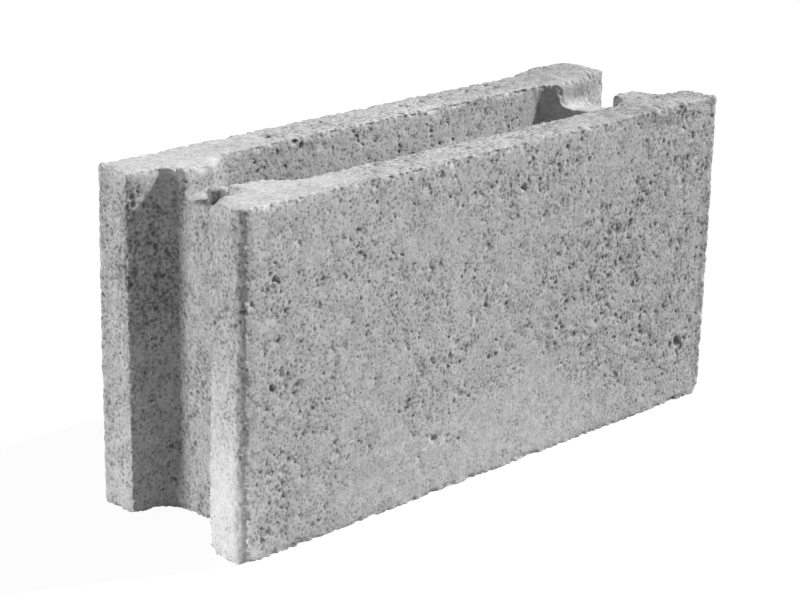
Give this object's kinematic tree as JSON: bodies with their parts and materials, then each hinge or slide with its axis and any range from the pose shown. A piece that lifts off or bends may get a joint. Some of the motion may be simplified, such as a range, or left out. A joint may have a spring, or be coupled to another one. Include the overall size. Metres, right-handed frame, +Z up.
{
  "type": "concrete shuttering block",
  "caption": "Hollow cast concrete wall block with a through cavity, grooved ends and notched webs, laid dry and then filled with concrete and reinforcing bar.",
  "frame": {"origin": "middle of the foot, on the ground plane", "axes": "+X along the length of the block, +Y across its width, +Z up towards the notched tops of the webs"},
  "size_m": [0.5, 0.15, 0.25],
  "materials": {
    "cast_concrete": "vibro-pressed dry-mix concrete, neutral light grey, open-pored and matt, with rough arrises"
  },
  "bodies": {
    "root": {"shuttering_block": "cast_concrete"}
  },
  "joints": []
}
